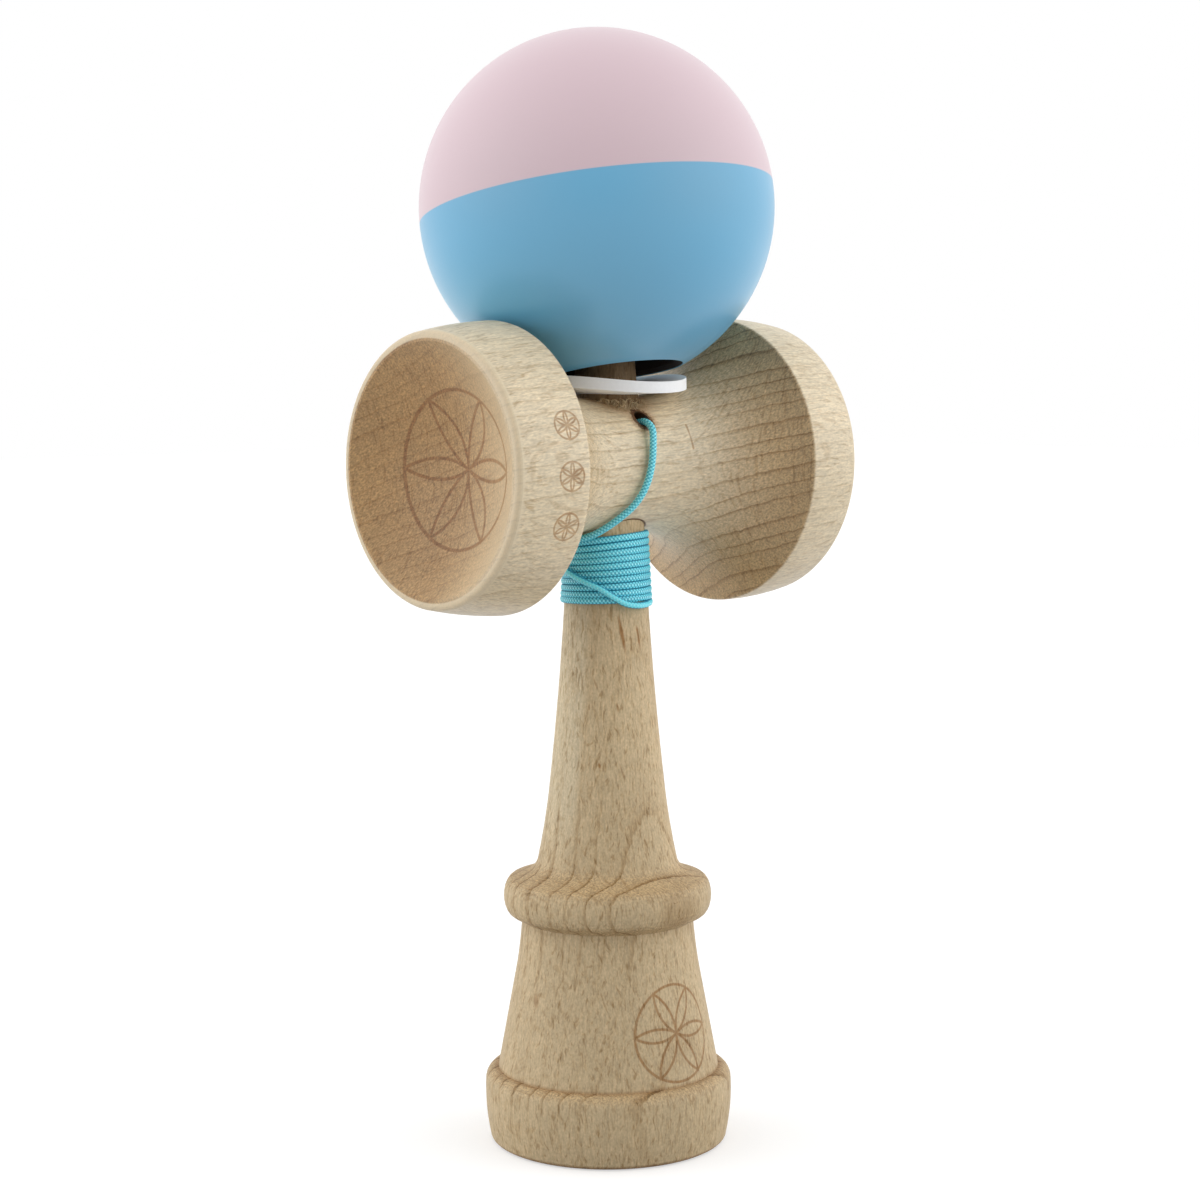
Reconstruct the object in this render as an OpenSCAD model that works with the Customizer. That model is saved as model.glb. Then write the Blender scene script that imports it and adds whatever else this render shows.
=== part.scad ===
// Kendama: a turned wooden handle and cross-piece, a painted ball on the spike, and its wound string.
// Millimetres. The origin is on the handle's axis in the plane of the base rim. The cross-piece lies
// along X with its small cup at -X, and the string leaves it on the -Y side.

/* [Base and collar] */
// Diameter of the base rim that the toy stands on
base_d = 41.1; // [38:0.1:46]
// Diameter of the collar below its rounded upper edge
collar_d = 42.6; // [40:0.1:48]
// Height of the collar
collar_h = 12.7; // [9:0.1:18]
// Rounding of the collar's upper edge
collar_round = 2.2; // [1:0.1:3]
// Rounding of the base rim
base_round = 1.1; // [0.5:0.1:2]
// Diameter of the base cup at the rim
base_cup_d = 34.6; // [28:0.1:36]

/* [Handle] */
// Height of the cone between the collar and the flange
cone_h = 25.8; // [18:0.1:36]
// Diameter of the cone where its neck starts
cone_neck_d = 30.8; // [27:0.1:32]
// Height of the steeper neck at the top of the cone
cone_neck_h = 6; // [3:0.1:10]
// Diameter at the top of the cone
cone_top_d = 29.6; // [26:0.1:31]
// Diameter of the flange
flange_d = 35.9; // [34.5:0.1:40]
// Height of the slope under the flange
flange_under_h = 0.9; // [0.5:0.1:2]
// Height of the flange's round edge
flange_edge_h = 6.6; // [4:0.1:9]
// How far the flange's round edge swells
flange_bulge = 1.7; // [1:0.1:2]
// Height of the sloping shoulder on top of the flange
flange_slope_h = 1.5; // [1:0.1:3]
// Diameter of the shaft where it stands on the flange
shaft_foot_d = 24.5; // [22:0.1:28]
// Height of the flared foot of the shaft
shaft_foot_h = 16.7; // [10:0.1:24]
// Length of the fillet between the shoulder and the shaft
foot_fillet = 1.8; // [1:0.1:2.5]
// Diameter of the shaft above its flared foot
grip_d = 19.4; // [17:0.1:21]
// Height of the waisted grip, from the flared foot to the cross-piece
grip_h = 41.5; // [34:0.1:50]
// Diameter of the shaft where it enters the cross-piece
tenon_d = 13.2; // [12:0.1:15]

/* [Spike] */
// Diameter of the shaft where it leaves the cross-piece
spike_d = 11.2; // [10:0.1:11.9]
// Height of the spike above the cross-piece
spike_h = 34.6; // [26:0.1:38]
// Diameter of the spike where its round tip starts
spike_tip_d = 5.6; // [4:0.1:8]

/* [Cross-piece] */
// Diameter of the neck that the handle goes through
neck_d = 22.6; // [20:0.1:26]
// Length of the straight middle of the neck
neck_flat = 10; // [6:0.1:14]
// Radius of the flares behind the cups
flare_r = 22.3; // [20:0.1:26]
// Diameter of the small cup at its back edge
small_back_d = 48.3; // [42:0.1:50]
// Diameter of the small cup at its lip
small_lip_d = 45.2; // [42:0.1:48]
// Length of the small cup's outer wall
small_band = 12.8; // [10:0.1:16]
// Rounding of the small cup's back edge
small_round = 1; // [0.4:0.1:2]
// Diameter of the small cup's dish at the lip
small_dish_d = 41.6; // [36:0.1:42]
// Diameter of the big cup at its back edge
big_back_d = 49.8; // [46:0.1:52]
// Diameter of the big cup at its lip
big_lip_d = 48.1; // [46:0.1:50]
// Length of the big cup's outer wall
big_band = 11.2; // [9:0.1:14]
// Rounding of the big cup's back edge
big_round = 0.6; // [0.4:0.1:2]
// Diameter of the big cup's dish at the lip
big_dish_d = 44.4; // [40:0.1:45]
// Rounding of both lips
lip_round = 1; // [0.3:0.1:1.4]

/* [Ball] */
// Diameter of the ball
ball_d = 60; // [56:0.1:63]
// Diameter of the bevelled mouth of its spike hole
mouth_d = 22.6; // [21.6:0.1:25]
// Diameter of the spike hole
hole_d = 20.8; // [20:0.1:21.4]
// Height of wood above the spike hole's straight wall
hole_roof = 13.8; // [12:0.1:18]
// Angle by which the ball leans back on the spike
ball_lean = 10; // [6:0.5:11]
// Diameter of the string hole at the top of the ball
eye_d = 3.4; // [2.6:0.1:4]
// Diameter of the string hole's countersink
eye_sink_d = 6.4; // [5:0.1:8]

/* [Washer] */
// Outer diameter of the washer on the spike
washer_d = 27.6; // [24:0.1:29]
// Diameter of the washer's hole
washer_bore_d = 12.4; // [12:0.1:14]
// Thickness of the washer
washer_t = 1.9; // [1.6:0.1:2.2]
// Radius of the saddle that the flares bend the washer into
washer_bend_r = 60; // [54:1:90]

/* [String and bead] */
// Diameter of the slack string
string_d = 1.4; // [1:0.05:1.8]
// Thickness of the string where it is wound tight
wound_d = 0.6; // [0.5:0.02:0.62]
// Height of one turn of the winding
wound_pitch = 1.02; // [1.02:0.01:1.1]
// Diameter of the string hole in the cross-piece and the handle
string_hole_d = 3; // [2.6:0.1:3.4]
// Angle of the string hole above the level
string_hole_tilt = 14; // [8:1:20]
// Height of the string hole above the middle of the cross-piece, at the handle's axis
string_hole_rise = 5.7; // [4:0.1:7]
// Distance of the string hole from the handle's axis, towards the big cup
string_hole_side = 0.9; // [0:0.1:2]
// Diameter of the pocket for the knot in the handle
knot_pocket_d = 4.6; // [4:0.1:5]
// Diameter of both knots
knot_d = 3.8; // [3:0.1:3.9]
// Diameter of the bead in the ball
bead_d = 8; // [7:0.1:9]
// Diameter of the bead's hole
bead_bore_d = 2.2; // [2:0.1:2.6]

/* [Hidden] */
$fn = 96;

// One overrun serves all cuts
over = 1;
// Clearance of the taper between the handle and the cross-piece
taper_gap = 0.03;
// Gap between the washer and the flares that carry it
washer_gap = 0.12;
// Angle by which the ball presses the back of the washer down
washer_tip = 2;
// Gap between the ball's mouth and the washer
ball_gap = 0.25;
// Sideways place of the ball's centre, which leans towards the small cup and back
ball_side = -0.9;
ball_back = 0.95;
// Gap between the bead and its seat, and between a bead and its knot
bead_gap = 0.25;
// Gap between the string's end and the knot in the handle
knot_gap = 0.1;
// Seat of a wound turn on the wood, and the gap between the winding's two layers
wound_seat = 0.05;
layer_gap = 0.45;

// Swell of the collar's wall and of the cups' walls, and hollow of the shaft's two curves
collar_swell = 0.3;
cup_swell = 0.25;
foot_hollow = 0.22;
grip_hollow = 0.37;
// Length of the soft corner between the cone and its neck
cone_fillet = 3;
// Half the point angle of the drill that cut the spike hole
drill_half = 59;

// Loss of diameter for each unit of height in the cross-piece
taper_slope = (tenon_d - spike_d) / neck_d;

// Heights along the handle
cone_z = collar_h;
under_z = cone_z + cone_h;
edge_z = under_z + flange_under_h;
slope_z = edge_z + flange_edge_h;
foot_z = slope_z + flange_slope_h;
grip_z = foot_z + shaft_foot_h;
tenon_z = grip_z + grip_h;
axis_z = tenon_z + neck_d / 2;
spike_z = tenon_z + neck_d;
tip_z = spike_z + spike_h;

// A circular arc from p to q that bulges by sag to the right of the way along it
function arc(p, q, sag, steps = 10) =
    let (
        d = q - p,
        chord = norm(d),
        bow = abs(sag),
        r = (chord * chord / 4 + bow * bow) / (2 * bow),
        side = sign(sag) * [d[1], -d[0]] / chord,
        centre = (p + q) / 2 - side * (r - bow),
        first = atan2(p[1] - centre[1], p[0] - centre[0]),
        sweep = 2 * asin(chord / (2 * r)) * sign(sag)
    )
    [for (i = [0 : steps]) centre + r * [cos(first + sweep * i / steps), sin(first + sweep * i / steps)]];

// Sag of a quarter round of radius r
function quarter_sag(r) = r * (1 - sqrt(0.5));

// The point at distance l from p on the way to q
function toward(p, q, l) = p + l * (q - p) / norm(q - p);
// Sag of the fillet that starts at distance l from corner c on the ways to p and q
function fillet_sag(c, p, q, l) =
    let (half = acos((p - c) * (q - c) / norm(p - c) / norm(q - c)) / 2)
    l * tan(half) * (1 - sin(half));

// The handle's radius at height z on the waisted grip
grip_low = [grip_d / 2, grip_z];
grip_high = [tenon_d / 2, tenon_z];
grip_chord = norm(grip_high - grip_low);
grip_curve_r = (pow(grip_chord / 2, 2) + pow(grip_hollow, 2)) / (2 * grip_hollow);
grip_side = [grip_high[1] - grip_low[1], grip_low[0] - grip_high[0]] / grip_chord;
grip_centre = (grip_low + grip_high) / 2 + grip_side * (grip_curve_r - grip_hollow);
function grip_radius(z) = grip_centre[0] - sqrt(pow(grip_curve_r, 2) - pow(z - grip_centre[1], 2));

// Profiles as [radius, height]
collar_top_r = collar_d / 2 - collar_round;
flange_rim_r = flange_d / 2 - flange_bulge;
shoulder = [flange_rim_r, slope_z];
foot = [shaft_foot_d / 2, foot_z];
foot_high = toward(foot, grip_low, foot_fillet);
cone_foot = [collar_top_r, collar_h];
cone_neck = [cone_neck_d / 2, under_z - cone_neck_h];
cone_top = [cone_top_d / 2, under_z];
ken_profile = concat(
    [[0, 0], [base_d / 2 - base_round, 0]],
    arc([base_d / 2 - base_round, 0], [base_d / 2, base_round], quarter_sag(base_round), 5),
    arc([base_d / 2, base_round], [collar_d / 2, collar_h - collar_round], collar_swell),
    arc([collar_d / 2, collar_h - collar_round], cone_foot, quarter_sag(collar_round)),
    arc(toward(cone_neck, cone_foot, cone_fillet), toward(cone_neck, cone_top, cone_fillet),
        -fillet_sag(cone_neck, cone_foot, cone_top, cone_fillet), 4),
    [cone_top],
    [for (a = [-90 : 15 : 90])
        [flange_rim_r + flange_bulge * cos(a), edge_z + flange_edge_h * (1 + sin(a)) / 2]],
    arc(toward(foot, shoulder, foot_fillet), foot_high,
        -fillet_sag(foot, shoulder, grip_low, foot_fillet), 6),
    arc(foot_high, grip_low, -foot_hollow),
    arc(grip_low, grip_high, -grip_hollow, 14),
    [[spike_d / 2, spike_z]],
    [for (a = [0 : 15 : 90])
        [spike_tip_d / 2 * cos(a), tip_z - spike_tip_d / 2 * (1 - sin(a))]]
);

// Radius of the cross-piece at x on a flare
function flare_radius(x) = neck_d / 2 + flare_r - sqrt(pow(flare_r, 2) - pow(x - neck_flat / 2, 2));
// The flare from the neck out to the given angle of its curve, as [radius, x]
function flare(sweep, steps = 20) =
    [for (i = [0 : steps])
        let (a = sweep * i / steps)
        [neck_d / 2 + flare_r * (1 - cos(a)), neck_flat / 2 + flare_r * sin(a)]];
// A rounded edge from the flare to the wall, tangent to both, about a centre given as [radius, x]
function back_edge(centre, round, sweep, steps = 6) =
    [for (i = [1 : steps])
        let (a = sweep * (1 - i / steps))
        centre + round * [cos(a), -sin(a)]];

// One half of the cross-piece's outline, from the neck to the middle of its lip
function cup_half(back_d, lip_d, band, round) =
    let (
        sweep = acos((neck_d / 2 + flare_r - back_d / 2 + round) / (flare_r + round)),
        edge_x = neck_flat / 2 + (flare_r + round) * sin(sweep),
        lip_x = edge_x + band
    )
    concat(
        flare(sweep),
        back_edge([back_d / 2 - round, edge_x], round, sweep),
        arc([back_d / 2, edge_x], [lip_d / 2, lip_x - lip_round], cup_swell),
        arc([lip_d / 2, lip_x - lip_round], [lip_d / 2 - lip_round, lip_x], quarter_sag(lip_round), 5),
        [[0, lip_x]]
    );
small_half = cup_half(small_back_d, small_lip_d, small_band, small_round);
big_half = cup_half(big_back_d, big_lip_d, big_band, big_round);
small_x = small_half[len(small_half) - 1][1];
big_x = big_half[len(big_half) - 1][1];
sarado_profile = concat(
    [for (i = [len(small_half) - 1 : -1 : 0]) [small_half[i][0], -small_half[i][1]]],
    big_half
);

// The dishes have the ball's own radius
dish_r = ball_d / 2;
function dish_back(d) = sqrt(pow(dish_r, 2) - pow(d / 2, 2));

// The washer rests on both flares at its own edge
washer_edge_rise = pow(washer_d / 2, 2) / (2 * washer_bend_r);
washer_top = axis_z + flare_radius(washer_d / 2) + washer_gap - washer_edge_rise + washer_t;
// Height of the washer's upper face at x and y
function washer_face(x, y) =
    washer_top + washer_bend_r - sqrt(pow(washer_bend_r, 2) - pow(x, 2)) - y * tan(washer_tip);

mouth_drop = sqrt(pow(ball_d / 2, 2) - pow(mouth_d / 2, 2));
mouth_bevel = (mouth_d - hole_d) / 2;
// The rim of the ball's mouth at angle a round it, seen from the ball's centre
function mouth_rim(a) = [
    mouth_d / 2 * sin(a),
    mouth_d / 2 * cos(a) * cos(ball_lean) - mouth_drop * sin(ball_lean),
    -mouth_d / 2 * cos(a) * sin(ball_lean) - mouth_drop * cos(ball_lean)
];
// The ball stands on the washer where its mouth meets it first
ball_z = ball_gap + max([
    for (a = [0 : 5 : 355])
        let (p = mouth_rim(a))
        washer_face(ball_side + p[0], ball_back + p[1]) - p[2]
]);
hole_end = ball_d / 2 - hole_roof;
hole_point = hole_end + hole_d / 2 / tan(drill_half);
bead_z = hole_point - bead_d / 2 / sin(drill_half) - bead_gap;
bead_knot_z = bead_z - bead_d / 2 - bead_gap - knot_d / 2;
// The string starts to bend this deep in its hole
eye_z = ball_d / 2 - 2 * string_d;

// The string hole runs down past the handle's axis, and the knot's pocket opens on the far side
string_hole_l = neck_d;
knot_pocket_from = string_d / 2;
knot_place = knot_pocket_from + knot_d / 2;
// A point in the string hole at distance l outwards from the middle of the neck
string_hole_middle = [string_hole_side, 0, axis_z + string_hole_rise];
function string_hole_point(l) =
    string_hole_middle + l * [0, -cos(string_hole_tilt), sin(string_hole_tilt)];

// Hand-chosen route of the lead, from the knot out of the cross-piece to the winding
lead_route = [[0.9, -2.5, 123.1], [0.9, -5, 123.65], [0.9, -6.6, 124], [0.85, -8, 124.25],
    [0.8, -8.85, 124.3], [0.7, -9.8, 124.05], [0.6, -10.65, 123.5], [0.4, -11.25, 122.7],
    [0.2, -11.55, 121.7], [-0.1, -11.85, 120.3], [-0.45, -12.1, 118.6], [-0.85, -12.2, 116.9],
    [-1.4, -12.05, 114.8], [-2.2, -11.4, 112.4], [-3.3, -10.2, 110.2], [-4.8, -8.6, 108.3],
    [-6.1, -6.7, 106.7], [-7.2, -4.5, 105.4], [-7.8, -2.1, 104.75]];

// Hand-chosen route behind the cross-piece and over the back of the ball to its string hole
rear_route = [[-0.8, 9.1, 104.5], [0, 10.1, 106.3], [0, 11.1, 109.2],
    [0, 12.4, 112.2], [0, 14, 115.5], [-0.1, 15.6, 118.8], [-0.1, 17.2, 122.1], [-0.2, 18.8, 125.4],
    [-0.2, 20.4, 128.7], [-0.3, 22, 132], [-0.3, 23.6, 135.3], [-0.4, 25.2, 138.6], [-0.4, 26.8, 141.9],
    [-0.5, 28.4, 145.2], [-0.6, 30, 149], [-0.7, 31.2, 153], [-0.7, 31.9, 157], [-0.8, 32.1, 161],
    [-0.8, 31.7, 165], [-0.9, 30.8, 169], [-0.9, 29.3, 173], [-0.9, 27.2, 176.8], [-0.9, 24.5, 180.4],
    [-0.9, 21.4, 183.5], [-0.9, 17.9, 186.1], [-0.9, 14.2, 188.2], [-0.9, 11.3, 189.4],
    [-0.9, 9.2, 190], [-0.9, 8, 189.8], [-0.9, 7, 189.3], [-0.9, 6.25, 188.55]];

// The winding goes down clockwise from the lead, then climbs over its own turns to the back
loop_steps = 24;
wound_start = 160;
wound_left = 110;
wound_helix = 3820;
wound_cross = 185;
cross_lift = 30;
settle = 60;
// How much higher the top turn lies on the right than on the left
wound_slant = 1.6;
// How far below the neck the first turn starts, and how far the last strand climbs
wound_below = 1.48;
cross_climb = 9.3;
wound_z = tenon_z - wound_below;
slack_seat = string_d / 2 + wound_seat;
turn_seat = wound_d / 2 + wound_seat;
outer_seat = turn_seat + wound_d + layer_gap;
end_seat = turn_seat + wound_d / 2 + string_d / 2 + layer_gap;

// Smooth step from 0 to 1 as t goes from 0 to 1
function ease(t) = let (c = min(max(t, 0), 1)) c * c * (3 - 2 * c);
function wound_height(a) =
    let (
        helix = min(a, wound_helix),
        slant = wound_slant / 2 * (1 - helix / wound_helix),
        climb = (a - wound_helix - cross_lift) / (wound_cross - cross_lift)
    )
    wound_z - wound_pitch * helix / 360 + slant * (1 - cos(wound_start - helix - wound_left))
        + cross_climb * max(climb, 0) * ease(climb * 3);
function wound_lift(a) =
    turn_seat + (slack_seat - turn_seat) * (1 - ease(a / settle))
        + (outer_seat - turn_seat) * ease((a - wound_helix) / cross_lift)
        + (end_seat - outer_seat) * ease((a - wound_helix - wound_cross + settle) / settle);
function wound_point(a) =
    let (
        z = wound_height(a),
        r = grip_radius(z) + wound_lift(a)
    )
    [r * cos(wound_start - a), r * sin(wound_start - a), z];
wound_steps = round((wound_helix + wound_cross) / 360 * loop_steps);
wound_turns = [for (i = [0 : wound_steps]) wound_point((wound_helix + wound_cross) * i / wound_steps)];

// A straight run of length l that leaves the first of two points, away from the second
function run_out(p, q, l) = p + l * (p - q) / norm(p - q);
wound_last = len(wound_turns) - 1;
wound_path = concat(
    [run_out(wound_turns[0], wound_turns[1], wound_d)],
    wound_turns,
    [run_out(wound_turns[wound_last], wound_turns[wound_last - 1], wound_d)]
);

// Least gap of the winding to itself, between points more than half a turn apart
wound_gap = min([
    for (i = [0 : len(wound_path) - 1])
        for (j = [i + loop_steps / 2 : len(wound_path) - 1])
            norm(wound_path[i] - wound_path[j])
]) - wound_d;
echo(winding_least_gap = wound_gap);

// The cord's ends meet the winding's ends squarely
lead_path = concat(
    [string_hole_point(knot_gap - knot_pocket_from)],
    lead_route,
    [run_out(wound_path[0], wound_path[1], string_d), wound_path[0]]
);
rear_path = concat(
    [
        wound_path[len(wound_path) - 1],
        run_out(wound_path[len(wound_path) - 1], wound_path[len(wound_path) - 2], string_d)
    ],
    rear_route,
    [ball_point(eye_z + string_d / 2), ball_point(eye_z)]
);

// A point on the ball's own axis, at height z in the ball
function ball_point(z) =
    [ball_side, ball_back + z * sin(ball_lean), ball_z + z * cos(ball_lean)];

function unit(v) = v / norm(v);
function heading(path, i) =
    unit(path[min(i + 1, len(path) - 1)] - path[max(i - 1, 0)]);

// One closed tube of triangles along a path, with level as a direction that the path never takes
module tube(path, r, sides, level) {
    rings = len(path);
    points = [
        for (i = [0 : rings - 1])
            let (
                t = heading(path, i),
                u = unit(cross(t, level)),
                v = cross(t, u)
            )
            for (k = [0 : sides - 1])
                path[i] + r * (cos(360 * k / sides) * u + sin(360 * k / sides) * v)
    ];
    walls = [
        for (i = [0 : rings - 2])
            for (k = [0 : sides - 1])
                let (
                    a = i * sides + k,
                    b = i * sides + (k + 1) % sides
                )
                each [[a, a + sides, b], [b, a + sides, b + sides]]
    ];
    caps = [
        for (k = [1 : sides - 2])
            each [[0, k, k + 1],
                [(rings - 1) * sides, (rings - 1) * sides + k + 1, (rings - 1) * sides + k]]
    ];
    polyhedron(points, concat(walls, caps), convexity = 12);
}

// A child drawn in the ball's own frame, spike hole down
module in_ball() {
    translate([ball_side, ball_back, ball_z]) rotate([-ball_lean, 0, 0]) children();
}

// A child drawn along the slanted string hole, outwards from the middle of the neck
module along_string_hole() {
    translate(string_hole_middle) rotate([90 - string_hole_tilt, 0, 0]) children();
}

module ken() {
    color("burlywood")
        difference() {
            rotate_extrude() polygon(ken_profile);
            translate([0, 0, -dish_back(base_cup_d)]) sphere(dish_r);
            along_string_hole() cylinder(d = string_hole_d, h = string_hole_l);
            along_string_hole()
                mirror([0, 0, 1])
                    translate([0, 0, -knot_pocket_from]) cylinder(d = knot_pocket_d, h = string_hole_l);
        }
}

module sarado() {
    color("wheat")
        difference() {
            translate([0, 0, axis_z]) rotate([0, 90, 0]) rotate_extrude() polygon(sarado_profile);
            translate([-small_x - dish_back(small_dish_d), 0, axis_z]) sphere(dish_r);
            translate([big_x + dish_back(big_dish_d), 0, axis_z]) sphere(dish_r);
            translate([0, 0, tenon_z - over])
                cylinder(d1 = tenon_d + taper_slope * over + 2 * taper_gap,
                    d2 = spike_d - taper_slope * over + 2 * taper_gap, h = neck_d + 2 * over);
            along_string_hole() cylinder(d = string_hole_d, h = string_hole_l);
        }
}

// A flat washer's outline, cut from a shell bent to the saddle
module spacer_ring() {
    color("white")
        translate([0, 0, washer_top]) rotate([-washer_tip, 0, 0])
            intersection() {
                difference() {
                    translate([0, 0, -2 * washer_t])
                        cylinder(d = washer_d, h = 2 * (washer_t + washer_edge_rise));
                    translate([0, 0, -2 * washer_t - over])
                        cylinder(d = washer_bore_d, h = 2 * (washer_t + washer_edge_rise + over));
                }
                translate([0, 0, washer_bend_r]) rotate([90, 0, 0])
                    difference() {
                        cylinder(r = washer_bend_r + washer_t, h = 2 * washer_d, center = true);
                        cylinder(r = washer_bend_r, h = 2 * washer_d + over, center = true);
                    }
            }
}

module tama() {
    color("skyblue")
        in_ball()
            difference() {
                sphere(d = ball_d);
                rotate_extrude()
                    polygon([[0, -ball_d], [mouth_d / 2 + ball_d - mouth_drop, -ball_d],
                        [mouth_d / 2, -mouth_drop], [hole_d / 2, mouth_bevel - mouth_drop],
                        [hole_d / 2, hole_end], [0, hole_point]]);
                cylinder(d = eye_d, h = ball_d);
                translate([0, 0, ball_d / 2 - (eye_sink_d - eye_d) / 2])
                    cylinder(d1 = eye_d, d2 = eye_sink_d, h = (eye_sink_d - eye_d) / 2);
            }
}

module bead() {
    color("ivory")
        in_ball() translate([0, 0, bead_z])
            difference() {
                sphere(d = bead_d);
                cylinder(d = bead_bore_d, h = bead_d + over, center = true);
            }
}

module string_lead() {
    color("turquoise") tube(lead_path, string_d / 2, 8, [1, 0, 0]);
}

module string_winding() {
    color("turquoise") tube(wound_path, wound_d / 2, 6, [0, 0, 1]);
}

module string_rear() {
    color("turquoise") tube(rear_path, string_d / 2, 8, [1, 0, 0]);
}

module string_end() {
    color("turquoise")
        in_ball() translate([0, 0, bead_knot_z + knot_d / 2])
            cylinder(d = string_d, h = eye_z - bead_knot_z - knot_d / 2);
}

module ken_knot() {
    color("turquoise")
        along_string_hole() translate([0, 0, -knot_place]) sphere(d = knot_d);
}

module bead_knot() {
    color("turquoise") in_ball() translate([0, 0, bead_knot_z]) sphere(d = knot_d);
}

ken();
sarado();
spacer_ring();
tama();
bead();
string_lead();
string_winding();
string_rear();
string_end();
ken_knot();
bead_knot();
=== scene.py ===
"""Looks of the kendama: beech handle and cross-piece, painted ball, white washer and braided string.

Everything is in the row frame, in metres: +Z up the handle, the small cup at -X, the string side at -Y.
"""

import math

import bpy
import numpy as np
from mathutils import Matrix, Vector


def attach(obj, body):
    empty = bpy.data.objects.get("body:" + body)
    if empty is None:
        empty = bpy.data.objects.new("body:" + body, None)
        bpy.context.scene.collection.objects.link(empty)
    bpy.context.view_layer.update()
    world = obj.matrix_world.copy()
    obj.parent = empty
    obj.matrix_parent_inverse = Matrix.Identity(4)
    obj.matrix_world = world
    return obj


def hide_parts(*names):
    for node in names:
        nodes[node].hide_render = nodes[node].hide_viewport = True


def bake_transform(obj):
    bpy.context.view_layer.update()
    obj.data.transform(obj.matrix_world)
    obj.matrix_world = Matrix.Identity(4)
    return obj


MM = 0.001

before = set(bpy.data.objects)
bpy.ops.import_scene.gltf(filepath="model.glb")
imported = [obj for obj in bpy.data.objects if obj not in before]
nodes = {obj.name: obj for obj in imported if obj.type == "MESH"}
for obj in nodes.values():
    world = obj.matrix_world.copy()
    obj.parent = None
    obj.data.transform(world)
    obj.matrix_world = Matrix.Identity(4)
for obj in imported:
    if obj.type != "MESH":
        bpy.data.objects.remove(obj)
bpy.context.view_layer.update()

# Sizes of the CAD part that the looks follow, in millimetres
AXIS_Z = 117.0
SMALL_LIP_X = -38.63
BIG_LIP_X = 37.13
SMALL_DISH_R = 20.8
BIG_DISH_R = 22.2
TENON_R, TENON_Z = 6.6, 105.7
SPIKE_R, NECK_R = 5.6, 11.3
COLLAR_Z = 12.7
GRIP_R, GRIP_Z, GRIP_HOLLOW = 9.7, 64.2, 0.37
BALL_CENTRE = Vector((-0.9, 0.95, 160.074))
BALL_LEAN = math.radians(10)
BALL_AXIS = Vector((0, math.sin(BALL_LEAN), math.cos(BALL_LEAN)))


def ball_point(z):
    """The point on the ball's own axis at height z in the ball."""
    return BALL_CENTRE + z * BALL_AXIS


# Camera, fitted to the photograph
CAMERA_PLACE = Vector((-288.7, -313.7, 133.6)) * MM
CAMERA_HEADING = math.radians(47.52)
CAMERA_PITCH = math.radians(5.343)
CAMERA_ROLL = math.radians(0.273)
CAMERA_LENS = 74.96
SENSOR = 36.0
CAMERA_CLIP = (0.01, 50)


def add_camera():
    """The camera fitted to the photograph."""
    level = Vector((math.cos(CAMERA_HEADING), math.sin(CAMERA_HEADING), 0))
    ahead = level * math.cos(CAMERA_PITCH) - Vector((0, 0, math.sin(CAMERA_PITCH)))
    right = ahead.cross(Vector((0, 0, 1))).normalized()
    up = right.cross(ahead)
    right, up = (
        right * math.cos(CAMERA_ROLL) - up * math.sin(CAMERA_ROLL),
        up * math.cos(CAMERA_ROLL) + right * math.sin(CAMERA_ROLL),
    )
    data = bpy.data.cameras.new("camera")
    data.lens = CAMERA_LENS
    data.sensor_width = SENSOR
    data.clip_start, data.clip_end = CAMERA_CLIP
    camera = bpy.data.objects.new("camera", data)
    turned = Matrix((right, up, -ahead)).transposed().to_4x4()
    camera.matrix_world = Matrix.Translation(CAMERA_PLACE) @ turned
    bpy.context.scene.collection.objects.link(camera)
    bpy.context.scene.camera = camera


class Num:
    """A number in a node tree. Arithmetic on it adds nodes, so that a pattern reads as a formula."""

    def __init__(self, tree, socket):
        self.tree, self.socket = tree, socket

    def math(self, operation, *others):
        node = self.tree.nodes.new("ShaderNodeMath")
        node.operation = operation
        for slot, value in zip(node.inputs, (self, *others)):
            put(self.tree, slot, value)
        return Num(self.tree, node.outputs[0])

    def __add__(self, other):
        return self.math("ADD", other)

    __radd__ = __add__

    def __sub__(self, other):
        return self.math("SUBTRACT", other)

    def __rsub__(self, other):
        return (self * -1) + other

    def __mul__(self, other):
        return self.math("MULTIPLY", other)

    __rmul__ = __mul__

    def __truediv__(self, other):
        return self.math("DIVIDE", other)

    def __pow__(self, other):
        return self.math("POWER", other)

    def abs(self):
        return self.math("ABSOLUTE")

    def fract(self):
        return self.math("FRACT")

    def sin(self):
        return self.math("SINE")

    def cos(self):
        return self.math("COSINE")

    def sqrt(self):
        return self.math("SQRT")

    def min(self, other):
        return self.math("MINIMUM", other)

    def max(self, other):
        return self.math("MAXIMUM", other)

    def wrap(self, high, low):
        return self.math("WRAP", high, low)

    def atan2(self, other):
        return self.math("ARCTAN2", other)

    def step(self, low, high):
        """Smooth step from 0 at low to 1 at high, and the other way round where low is above high."""
        node = self.tree.nodes.new("ShaderNodeMapRange")
        node.interpolation_type = "SMOOTHSTEP"
        put(self.tree, node.inputs[0], self)
        node.inputs[1].default_value, node.inputs[2].default_value = low, high
        return Num(self.tree, node.outputs[0])


def put(tree, slot, value):
    """Links a number's socket to a slot, or sets the slot's value."""
    if isinstance(value, Num):
        tree.links.new(value.socket, slot)
    elif isinstance(value, bpy.types.NodeSocket):
        tree.links.new(value, slot)
    else:
        slot.default_value = value


def length(*parts):
    """The length of a vector with these parts."""
    total = parts[0] * parts[0]
    for part in parts[1:]:
        total = total + part * part
    return total.sqrt()


def band(value, fade_in, full_from, full_to, fade_out):
    """1 between full_from and full_to, fading to 0 at fade_in and fade_out."""
    return value.step(fade_in, full_from) * value.step(fade_out, full_to)


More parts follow.
